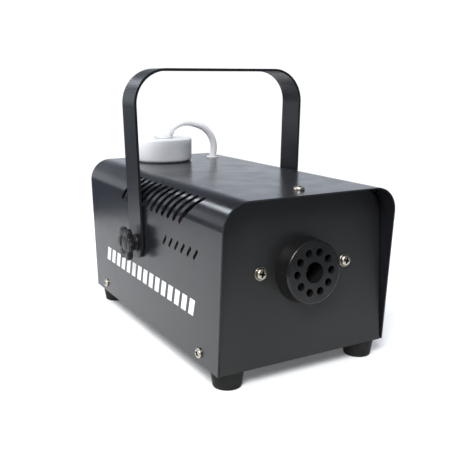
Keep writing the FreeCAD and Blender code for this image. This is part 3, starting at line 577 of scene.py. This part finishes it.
def screws(name, node, seats, radius, height):
    bm = bmesh.new()
    for seat, outward in seats:
        screw_head(bm, seat, outward, radius, height)
    piece = new_piece(name, bm, nickel, "housing")
    # slot 1: the painted shade deep in the cross recess
    piece.data.materials.append(recess_painted_shade)
    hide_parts(node)


lean = math.atan(8.5 / 118.0)
screw_across, screw_up, washer_height = 35.5, 65.2, 0.8
panel_out = Vector((0, -math.cos(lean), math.sin(lean)))
panel_foot = Vector((0, -120.0, 13.0))
panel_up = Vector((0, math.sin(lean), math.cos(lean)))
front_seats = [panel_foot + panel_up * screw_up + Vector((x, 0, 0))
               for x in (-screw_across, screw_across)]

screws("front_screw_heads", "front_screws",
       [(seat + panel_out * washer_height, panel_out) for seat in front_seats], 3.9, 2.5)
screws("side_screw_heads", "side_screws",
       [((sx * 71.0, sy * 94.0, 21.0), (sx, 0, 0)) for sx in (-1, 1) for sy in (-1, 1)], 3.6, 2.3)
screws("roof_screw_head", "roof_screw", [((0.0, -107.6, roof_z), (0, 0, 1))], 3.9, 2.4)

washer_mesh = bmesh.new()
for seat in front_seats:
    turned(washer_mesh, [(2.2, 0.02), (4.6, 0.02), (4.8, 0.2), (4.75, 0.55), (4.55, 0.78),
                         (4.3, washer_height), (4.1, 0.6), (3.9, 0.3), (2.2, 0.3)],
           seat, panel_out, closed=True)
washers = new_piece("cup_washers", washer_mesh, nickel, "housing")
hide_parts("front_screw_washers")


# ---- pump's return spring, which rides on the plunger -------------------------------------
pump_x, pump_y = 44.0, 20.0
spring_foot, plunger_foot = 40.8, 50.2
coil_radius, wire_radius = 3.9, 0.5
closed_pitch, open_pitch = 1.05, 1.81
coil_turns, closed_turns = 5.5, 0.9


def build_spring():
    """Round wire wound into a helix, with close coils at both ends."""
    bm = bmesh.new()
    steps = 264
    slope = open_pitch / (2 * math.pi * coil_radius)
    rings = []
    for step in range(steps + 1):
        turns = coil_turns * step / steps
        opened = min(max(turns - closed_turns, 0.0), coil_turns - 2 * closed_turns)
        climb = closed_pitch * (turns - opened) + open_pitch * opened
        angle = 2 * math.pi * turns
        out = Vector((math.cos(angle), math.sin(angle), 0))
        centre = Vector((pump_x, pump_y, spring_foot + climb)) + out * coil_radius
        forward = Vector((-math.sin(angle), math.cos(angle), slope))
        other = forward.normalized().cross(out)
        rings.append([(centre + (out * math.cos(t) + other * math.sin(t)) * wire_radius) * MM
                      for t in ring_angles(12)])
    loft(bm, rings)
    return bm


spring = new_piece("return_spring", build_spring(), zinc, "pump_plunger")
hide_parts("pump_spring")
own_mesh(spring)


# ---- plain raised band on the left side: slanted bars, no lettering -----------------------
bars = bmesh.new()
bar_count, bar_wide, bar_pitch, bar_slant = 15, 7.6, 11.9, 3.4
bar_start, bar_low, bar_high = 86.0, 45.0, 57.0
bar_root, bar_face = -70.95, -71.12
for k in range(bar_count):
    y = bar_start - k * bar_pitch
    flat = [(y, bar_high), (y - bar_wide, bar_high), (y - bar_wide + bar_slant, bar_low),
            (y + bar_slant, bar_low)]
    loft(bars, [[Vector((x, py, pz)) * MM for py, pz in flat] for x in (bar_root, bar_face)])
new_piece("side_band", bars, print_white, "housing", smooth=False)


# ---- floor and light ---------------------------------------------------------------------
floor_paint = two_tone("floor", (0.90, 0.90, 0.90), (0.92, 0.92, 0.92), 3.0, (0.55, 0.65),
                       200.0, 0.02, 0.0002, Emission_Color=(1, 1, 1, 1), Emission_Strength=0.1)
floor_radius = 0.52
floor_builder = bmesh.new()
bmesh.ops.create_circle(floor_builder, cap_ends=True, segments=96, radius=floor_radius)
floor_mesh = bpy.data.meshes.new("floor")
floor_builder.to_mesh(floor_mesh)
floor_builder.free()
floor_mesh.materials.append(floor_paint)
floor = bpy.data.objects.new("floor", floor_mesh)
bpy.context.scene.collection.objects.link(floor)

world = bpy.data.worlds.new("studio")
world.use_nodes = True
world_nodes, world_links = world.node_tree.nodes, world.node_tree.links


def world_math(kind, *values):
    node = world_nodes.new("ShaderNodeMath")
    node.operation = kind
    for socket, value in zip(node.inputs, values):
        if isinstance(value, (int, float)):
            socket.default_value = value
        else:
            world_links.new(value, socket)
    return node.outputs["Value"]


def world_ramp(value, start, end):
    node = world_nodes.new("ShaderNodeMapRange")
    node.interpolation_type = "SMOOTHSTEP"
    node.inputs["From Min"].default_value = start
    node.inputs["From Max"].default_value = end
    world_links.new(value, node.inputs["Value"])
    return node.outputs["Result"]


def world_background(colour, strength):
    node = world_nodes.new("ShaderNodeBackground")
    node.inputs["Color"].default_value = (*colour, 1.0)
    node.inputs["Strength"].default_value = strength
    return node


# The studio round the object: a bright backdrop and left wall, a bright patch overhead, a bluish
# fill from everywhere, nothing from below. Past the floor, the view sees plain white.
backdrop_glow, left_glow, overhead_glow = 0.95, 0.22, 0.8
direction = world_nodes.new("ShaderNodeSeparateXYZ")
world_links.new(world_nodes.new("ShaderNodeTexCoord").outputs["Generated"], direction.inputs[0])
toward_x, toward_y, toward_z = direction.outputs
above = world_ramp(toward_z, -0.06, 0.02)
backdrop = world_math("MULTIPLY", world_ramp(toward_y, -0.1, 0.6), world_ramp(toward_z, 0.38, 0.16))
left_wall = world_math("MULTIPLY", world_ramp(toward_x, -0.3, -0.8), world_ramp(toward_z, 0.35, 0.1))
overhead = world_ramp(toward_z, 0.80, 0.98)
glow = world_math("ADD", world_math("MULTIPLY", backdrop, backdrop_glow),
                  world_math("MULTIPLY", left_wall, left_glow))
glow = world_math("ADD", glow, world_math("MULTIPLY", overhead, overhead_glow))
glow = world_math("MULTIPLY", glow, above)
studio_light = world_nodes["Background"]
studio_light.inputs["Color"].default_value = (0.90, 0.94, 1.0, 1.0)
world_links.new(glow, studio_light.inputs["Strength"])
fill_light = world_background((0.66, 0.78, 1.0), 0.2)
plain_white = world_background((1.0, 1.0, 1.0), 1.05)
both = world_nodes.new("ShaderNodeAddShader")
world_links.new(studio_light.outputs[0], both.inputs[0])
world_links.new(fill_light.outputs[0], both.inputs[1])
seen = world_nodes.new("ShaderNodeMixShader")
world_links.new(world_nodes.new("ShaderNodeLightPath").outputs["Is Camera Ray"], seen.inputs[0])
world_links.new(both.outputs[0], seen.inputs[1])
world_links.new(plain_white.outputs[0], seen.inputs[2])
world_links.new(seen.outputs[0], world_nodes["World Output"].inputs["Surface"])
bpy.context.scene.world = world


def soft_light(name, place, aim, size, power, colour=(1.0, 1.0, 1.0)):
    """A rectangular lamp of size in metres, turned to aim and hidden from the camera."""
    data = bpy.data.lights.new(name, "AREA")
    data.shape = "RECTANGLE"
    data.size, data.size_y = size
    data.energy = power
    data.color = colour
    lamp = bpy.data.objects.new(name, data)
    bpy.context.scene.collection.objects.link(lamp)
    lamp.location = place
    lamp.rotation_mode = "QUATERNION"
    lamp.rotation_quaternion = (Vector(aim) - Vector(place)).to_track_quat("-Z", "Y")
    lamp.visible_camera = False


soft_light("top_softbox", (-0.2, 0.5, 1.7), (0, 0, 0.0), (1.0, 1.0), 11.0)
soft_light("left_softbox", (-1.7, 0.5, 0.55), (0, 0, 0.05), (1.0, 0.7), 6.0)
soft_light("front_softbox", (-0.85, -1.05, 1.35), (0, 0, 0.1), (0.8, 0.8), 45.0)
soft_light("corner_strip", (-0.28, 0.74, 0.605), (-0.06, -0.11, 0.12), (0.16, 0.16), 1.0,
           (0.86, 0.92, 1.0))

bpy.context.scene.view_settings.view_transform = "Standard"
